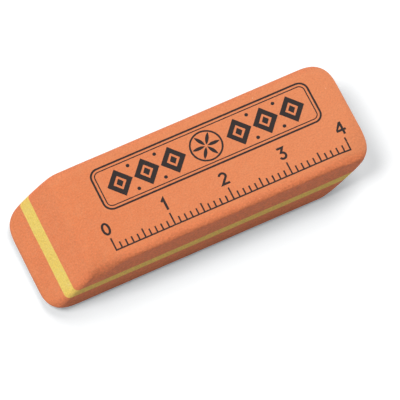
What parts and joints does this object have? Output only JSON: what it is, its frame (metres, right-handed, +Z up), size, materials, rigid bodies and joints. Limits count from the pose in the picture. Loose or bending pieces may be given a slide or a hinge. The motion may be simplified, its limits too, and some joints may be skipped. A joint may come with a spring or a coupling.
{
  "type": "combination eraser",
  "caption": "Bevelled rubber block eraser with rounded edges, laminated from outer orange sheets and a thin yellow core that shows as a stripe all the way round.",
  "frame": {"origin": "centre of the underside, on the surface the eraser lies on", "axes": "+X along the length, towards the end whose tip overhangs at the top; +Y across the width; +Z up through the sheets"},
  "size_m": [0.0556, 0.0182, 0.0099],
  "materials": {
    "orange_rubber": "matte",
    "yellow_rubber": "matte",
    "print_ink": "satin"
  },
  "bodies": {
    "root": {"lower_layer": "orange_rubber", "core_layer": "yellow_rubber", "upper_layer": "orange_rubber"}
  },
  "joints": []
}
